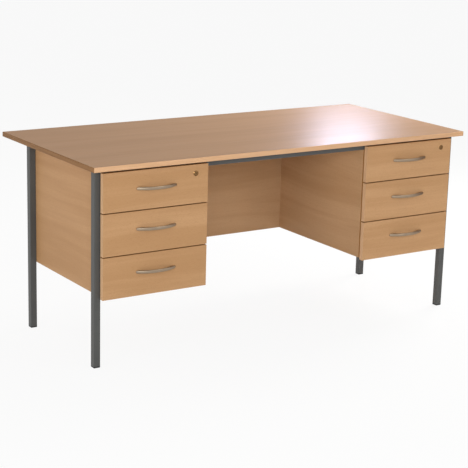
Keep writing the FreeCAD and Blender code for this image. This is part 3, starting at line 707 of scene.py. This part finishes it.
class DESK_OT_carcass(bpy.types.Operator):
    """Finish the pedestals' sides and bases and the modesty panel."""
    bl_idname = "desk.carcass"
    bl_label = "Pedestals and panel"

    def execute(self, context):
        boards = context.scene.desk_looks.boards
        # Boards round the knee space take the paler tones of painted fill light.
        painted_fill_tones = (boards.knee_dark_painted_fill, boards.knee_light_painted_fill)
        sides = {"outer": beech("side_beech", boards, Y_AXIS, X_AXIS),
                 "inner": beech("knee_side_beech_painted_fill", boards, Y_AXIS, X_AXIS, tones=painted_fill_tones)}
        bases = beech("base_beech", boards, Y_AXIS, Z_AXIS)
        for side in SIDES:
            for wall in WALLS:
                give(f"{side}_{wall}_side", sides[wall])
                soften(f"{side}_{wall}_side", boards.board_round)
            give(f"{side}_pedestal_base", bases)
            soften(f"{side}_pedestal_base", boards.board_round)
        give("modesty_panel", beech("panel_beech_painted_fill", boards, X_AXIS, Y_AXIS, figure=0.75, tones=painted_fill_tones))
        soften("modesty_panel", boards.board_round)
        return {"FINISHED"}


class DESK_OT_drawers(bpy.types.Operator):
    """Finish the drawer fronts, boxes and floors, and their runners."""
    bl_idname = "desk.drawers"
    bl_label = "Drawers"

    def execute(self, context):
        looks = context.scene.desk_looks
        # The ends of the drawer fronts take the paler tape of painted light.
        fronts = beech("front_beech", looks.boards, X_AXIS, Y_AXIS,
                       ends=(looks.boards.lit_front_streaks, looks.boards.lit_front_tape))
        boxes = foil("drawer_foil", looks.plastics.box)
        trays = foil("drawer_sheet", looks.plastics.tray)
        runners = moulded("runner_plastic", looks.plastics.runner)
        for side in SIDES:
            give(f"{side}_runners", runners)
            for row in ROWS:
                drawer = f"{side}_{row}_drawer"
                give(f"{drawer}_front", fronts)
                soften(f"{drawer}_front", looks.boards.board_round)
                give(f"{drawer}_box", boxes)
                give(f"{drawer}_floor", trays)
        give("fixing_blocks", runners)
        return {"FINISHED"}


class DESK_OT_handles(bpy.types.Operator):
    """Bend and plate the bow handles."""
    bl_idname = "desk.handles"
    bl_label = "Handles"

    def execute(self, context):
        metals = context.scene.desk_looks.metals
        nickel = plated("satin_nickel", metals.nickel, roughness=0.4)
        for side in SIDES:
            for row in ROWS:
                drawer = f"{side}_{row}_drawer"
                low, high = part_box(f"{drawer}_handle")
                bow = partial(bow_handle, low=low, high=high, metals=metals)
                new_piece(f"{drawer}_bow", bow, nickel, drawer, f"{drawer}_handle")
        return {"FINISHED"}


class DESK_OT_locks(bpy.types.Operator):
    """Turn the locks' bevelled collars and plate the locks."""
    bl_idname = "desk.locks"
    bl_label = "Locks"

    def execute(self, context):
        metals = context.scene.desk_looks.metals
        bronze = plated("lock_bronze", metals.bronze, roughness=0.2, brush=0.05)
        plug = plated("plug_bronze", metals.plug, roughness=0.24, brush_axis=Z_AXIS, brush=0.05)
        zinc = plated("lock_zinc", metals.zinc, roughness=0.35)
        for side in SIDES:
            drawer = f"{side}_upper_drawer"
            low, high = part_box(f"{side}_lock_case")
            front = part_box(f"{drawer}_front")[0].y
            plug_low, plug_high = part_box(f"{side}_lock_plug")
            bore = (plug_high.z - plug_low.z) / 2 + PLUG_ROOM
            collar = partial(lock_collar, low=low, high=high, front=front, bore=bore,
                             barrel=metals.lock_barrel / 2)
            new_piece(f"{side}_lock_collar", collar, bronze, drawer, f"{side}_lock_case")
            give(f"{side}_lock_plug", plug)
            give(f"{side}_lock_nut", zinc)
            give(f"{side}_lock_cam", zinc)
        return {"FINISHED"}


class DESK_OT_fasteners(bpy.types.Operator):
    """Turn the screws and the panel's caps, and plate the bolts."""
    bl_idname = "desk.fasteners"
    bl_label = "Fasteners"

    def execute(self, context):
        looks = context.scene.desk_looks
        zinc = plated("screw_zinc", looks.metals.zinc, roughness=0.35)
        give("leg_bolts", zinc)
        for side in SIDES:
            for row in ROWS:
                self.turn_handle_screws(f"{side}_{row}_drawer", looks.metals, zinc)
        self.turn_rail_screws(looks.metals, zinc)
        self.turn_panel_caps(looks.metals, moulded("cap_plastic", looks.plastics.cap))
        return {"FINISHED"}

    def turn_handle_screws(self, drawer, metals, zinc):
        """The two screws from inside a drawer front into its handle."""
        node = f"{drawer}_handle_screws"
        low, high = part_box(node)
        middle = (low + high) / 2
        radius = (high.z - low.z) / 2
        seat = high.y - metals.screw_head
        places = [(across, seat, middle.z) for across in (low.x + radius, high.x - radius)]
        screws = partial(set_of_heads, places=places, way=(0, 1, 0), radius=radius, height=metals.screw_head,
                         shank_radius=metals.screw_shank / 2, shank=seat - low.y, recess=True)
        new_piece(f"{drawer}_screws", screws, zinc, drawer, node)

    def turn_rail_screws(self, metals, zinc):
        """The screws from below through the rails into the worktop, with heads like the handles' screws."""
        low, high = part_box("top_screws")
        handle_low, handle_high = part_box("left_upper_drawer_handle_screws")
        radius = (handle_high.z - handle_low.z) / 2
        seat = low.z + metals.screw_head
        places = [(across, along, seat) for across in arc(low.x + radius, high.x - radius, RAIL_SCREWS - 1)
                  for along in (low.y + radius, high.y - radius)]
        screws = partial(set_of_heads, places=places, way=(0, 0, -1), radius=radius, height=metals.screw_head,
                         shank_radius=metals.screw_shank / 2, shank=high.z - seat, recess=True)
        new_piece("rail_screws", screws, zinc, "desk", "top_screws")

    def turn_panel_caps(self, metals, plastic):
        """The screws from the back through the modesty panel into the pedestals' sides, under domed caps."""
        low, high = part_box("panel_screws")
        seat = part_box("modesty_panel")[1].y
        sides = [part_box(f"{side}_{wall}_side") for side in SIDES for wall in WALLS]
        radius = high.x - max(side_low.x + side_high.x for side_low, side_high in sides) / 2
        places = [((side_low.x + side_high.x) / 2, seat, level) for side_low, side_high in sides
                  for level in (low.z + radius, high.z - radius)]
        caps = partial(set_of_heads, places=places, way=(0, 1, 0), radius=radius, height=high.y - seat,
                       shank_radius=metals.screw_shank / 2, shank=seat - low.y, recess=False)
        new_piece("panel_caps", caps, plastic, "desk", "panel_screws")


# Stage

# Points that the lamps look at, the last two on the worktop
DESK_MIDDLE = (0.0, 0.0, 0.45)
RIGHT_END = (0.6, 0.1, CAD_HIGH.z)
SHEEN_SPOT = (0.55, 0.0, CAD_HIGH.z)
# Widths and heights of the lamps, in metres
FRONT_LAMP, LEFT_LAMP, FILL_LAMP = (1.8, 1.4), (1.6, 1.6), (1.6, 1.2)
RIGHT_LAMP, REAR_LAMP = (1.2, 1.2), (0.34, 0.35)
CARD_FRONT, CARD_REAR, CARD_TOP = -1.65, 0.3, 0.6        # edges of the dark card
CORNER_FADE = (0.3, 0.8)        # cosines of the angle to the far corner between which its tone comes in


def aim(place, target):
    """A matrix that stands at a place and looks along its own -Z axis at a target."""
    way = (Vector(target) - Vector(place)).to_track_quat("-Z", "Y")
    return Matrix.Translation(place) @ way.to_matrix().to_4x4()


def add_lamp(name, place, target, size, watts, tint, mirrored=True):
    """A soft rectangular lamp that the camera doesn't see, shown in reflections unless told not to."""
    data = bpy.data.lights.new(name, "AREA")
    data.shape = "RECTANGLE"
    data.size, data.size_y = size
    data.energy = watts
    data.color = tint
    lamp = bpy.data.objects.new(name, data)
    lamp.matrix_world = aim(place, target)
    lamp.visible_camera = False
    lamp.visible_glossy = mirrored
    bpy.context.scene.collection.objects.link(lamp)


def seen_rays(tree):
    """One for rays that look at the studio straight, in a reflection or through glass."""
    path = add_node(tree, "ShaderNodeLightPath").outputs
    straight = add_node(tree, "ShaderNodeMath", {0: path["Is Camera Ray"], 1: path["Is Glossy Ray"]},
                        operation="MAXIMUM")
    every = add_node(tree, "ShaderNodeMath", {0: straight.outputs[0], 1: path["Is Transmission Ray"]},
                     operation="MAXIMUM")
    return every.outputs[0]


def studio_white(name, stage):
    """Pale floor that shows almost white and keeps a soft shadow."""
    material = bpy.data.materials.new(name)
    material.use_nodes = True
    tree = material.node_tree
    tree.nodes.remove(tree.nodes["Principled BSDF"])
    matt = add_node(tree, "ShaderNodeBsdfDiffuse", {"Color": (*stage.floor_colour, 1.0)})
    glow = add_node(tree, "ShaderNodeEmission", {"Strength": 1.0})
    shown = add_node(tree, "ShaderNodeMixShader",
                     {0: stage.floor_glow, 1: matt.outputs[0], 2: glow.outputs[0]})
    floor = add_node(tree, "ShaderNodeMixShader",
                     {0: seen_rays(tree), 1: matt.outputs[0], 2: shown.outputs[0]})
    tree.links.new(floor.outputs[0], tree.nodes["Material Output"].inputs["Surface"])
    return material


class DESK_OT_stage(bpy.types.Operator):
    """Set up the floor, the surroundings, the lamps and the camera."""
    bl_idname = "desk.stage"
    bl_label = "Stage"

    def execute(self, context):
        stage = context.scene.desk_looks.stage
        self.lay_floor(context, stage)
        self.stand_card(context, stage)
        self.light_surroundings(context, stage)
        self.hang_lamps(stage)
        self.place_camera(context, stage)
        context.scene.view_settings.view_transform = "Standard"
        return {"FINISHED"}

    def hang_lamps(self, stage):
        """The lamps round the desk. The one over the right end only lights."""
        add_lamp("front_lamp", stage.front_place, DESK_MIDDLE, FRONT_LAMP, stage.front_power, stage.cool)
        add_lamp("left_lamp", stage.left_place, DESK_MIDDLE, LEFT_LAMP, stage.left_power, stage.warm)
        add_lamp("fill_lamp", stage.fill_place, DESK_MIDDLE, FILL_LAMP, stage.fill_power, stage.warm)
        add_lamp("right_lamp", stage.right_place, RIGHT_END, RIGHT_LAMP, stage.right_power, stage.warm,
                 mirrored=False)
        add_lamp("rear_lamp", stage.rear_place, SHEEN_SPOT, REAR_LAMP, stage.rear_power, stage.sheen)

    def lay_floor(self, context, stage):
        """The floor that the desk stands on."""
        half = stage.floor_size / 2
        mesh = bpy.data.meshes.new("studio_floor")
        corners = [(-half, -half, CAD_LOW.z), (half, -half, CAD_LOW.z), (half, half, CAD_LOW.z),
                   (-half, half, CAD_LOW.z)]
        mesh.from_pydata(corners, [], [(0, 1, 2, 3)])
        mesh.materials.append(studio_white("studio_white", stage))
        floor = bpy.data.objects.new("studio_floor", mesh)
        context.scene.collection.objects.link(floor)

    def stand_card(self, context, stage):
        """A dark card to the right of the desk, seen only as the shade along the right of the handles."""
        mesh = bpy.data.meshes.new("studio_card")
        outline = ((CARD_FRONT, CAD_LOW.z), (CARD_REAR, CAD_LOW.z),
                   (CARD_REAR, CARD_TOP), (CARD_FRONT, CARD_TOP))
        corners = [(stage.card_place, along, height) for along, height in outline]
        mesh.from_pydata(corners, [], [(0, 1, 2, 3)])
        mesh.materials.append(foil("studio_card", stage.card_tone, roughness=0.8))
        card = bpy.data.objects.new("studio_card", mesh)
        card.visible_camera = False
        card.visible_diffuse = False
        card.visible_shadow = False
        card.visible_transmission = False
        context.scene.collection.objects.link(card)

    def light_surroundings(self, context, stage):
        """White all round to look at, a greyer far corner for the worktop to mirror, and an even light."""
        world = bpy.data.worlds.new("studio")
        world.use_nodes = True
        tree = world.node_tree
        lighting = tree.nodes["Background"]
        lighting.inputs["Color"].default_value = (*WHITE, 1.0)
        lighting.inputs["Strength"].default_value = stage.ambient
        way = add_node(tree, "ShaderNodeTexCoord").outputs["Generated"]
        corner = (math.sin(stage.corner_turn), math.cos(stage.corner_turn), 0.0)
        towards = add_node(tree, "ShaderNodeVectorMath", {0: way, 1: corner}, operation="DOT_PRODUCT")
        fade = between(tree, towards.outputs["Value"], *CORNER_FADE)
        tone = blend_colours(tree, fade, WHITE, stage.corner_tone)
        mirrored = add_node(tree, "ShaderNodeBackground", {"Color": tone, "Strength": 1.0})
        shown = add_node(tree, "ShaderNodeBackground", {"Color": (*WHITE, 1.0), "Strength": 1.0})
        path = add_node(tree, "ShaderNodeLightPath").outputs
        straight = add_node(tree, "ShaderNodeMath",
                            {0: path["Is Camera Ray"], 1: path["Is Transmission Ray"]}, operation="MAXIMUM")
        seen = add_node(tree, "ShaderNodeMixShader",
                        {0: path["Is Glossy Ray"], 1: lighting.outputs[0], 2: mirrored.outputs[0]})
        every = add_node(tree, "ShaderNodeMixShader",
                         {0: straight.outputs[0], 1: seen.outputs[0], 2: shown.outputs[0]})
        tree.links.new(every.outputs[0], tree.nodes["World Output"].inputs["Surface"])
        context.scene.world = world

    def place_camera(self, context, stage):
        """The camera at the photograph's viewing angle."""
        data = bpy.data.cameras.new("camera")
        data.lens = stage.camera_lens
        data.clip_end = 2 * stage.floor_size
        camera = bpy.data.objects.new("camera", data)
        heading = Matrix.Rotation(-stage.camera_turn, 4, "Z")
        tilt = Matrix.Rotation(QUARTER_TURN - stage.camera_tilt, 4, "X")
        roll = Matrix.Rotation(stage.camera_roll, 4, "Z")
        camera.matrix_world = Matrix.Translation(stage.camera_place) @ heading @ tilt @ roll
        context.scene.collection.objects.link(camera)
        context.scene.camera = camera


SETTINGS = (DeskBoards, DeskMetals, DeskPlastics, DeskStage, DeskLooks)
OPERATORS = (DESK_OT_worktop, DESK_OT_frame, DESK_OT_carcass, DESK_OT_drawers, DESK_OT_handles, DESK_OT_locks,
             DESK_OT_fasteners, DESK_OT_stage)


class DESK_PT_looks(bpy.types.Panel):
    """The desk's operators and settings in the sidebar."""
    bl_idname = "DESK_PT_looks"
    bl_label = "Pedestal desk"
    bl_space_type = "VIEW_3D"
    bl_region_type = "UI"
    bl_category = "Desk"

    def draw(self, context):
        looks = context.scene.desk_looks
        for operator in OPERATORS:
            self.layout.operator(operator.bl_idname)
        for group in (looks.boards, looks.metals, looks.plastics, looks.stage):
            column = self.layout.column(align=True)
            for name in group.bl_rna.properties.keys():
                if name not in ("rna_type", "name"):
                    column.prop(group, name)


CLASSES = (*SETTINGS, *OPERATORS, DESK_PT_looks)


def register():
    """Make the classes known to Blender."""
    for each in CLASSES:
        bpy.utils.register_class(each)
    bpy.types.Scene.desk_looks = bpy.props.PointerProperty(
        name="Desk looks", description="Settings of the desk", type=DeskLooks)


def unregister():
    """Take the classes away again."""
    del bpy.types.Scene.desk_looks
    for each in reversed(CLASSES):
        bpy.utils.unregister_class(each)


def main():
    """Dress the desk and set the stage."""
    register()
    for operator in OPERATORS:
        group, name = operator.bl_idname.split(".")
        getattr(getattr(bpy.ops, group), name)()


if __name__ == "__main__":
    main()
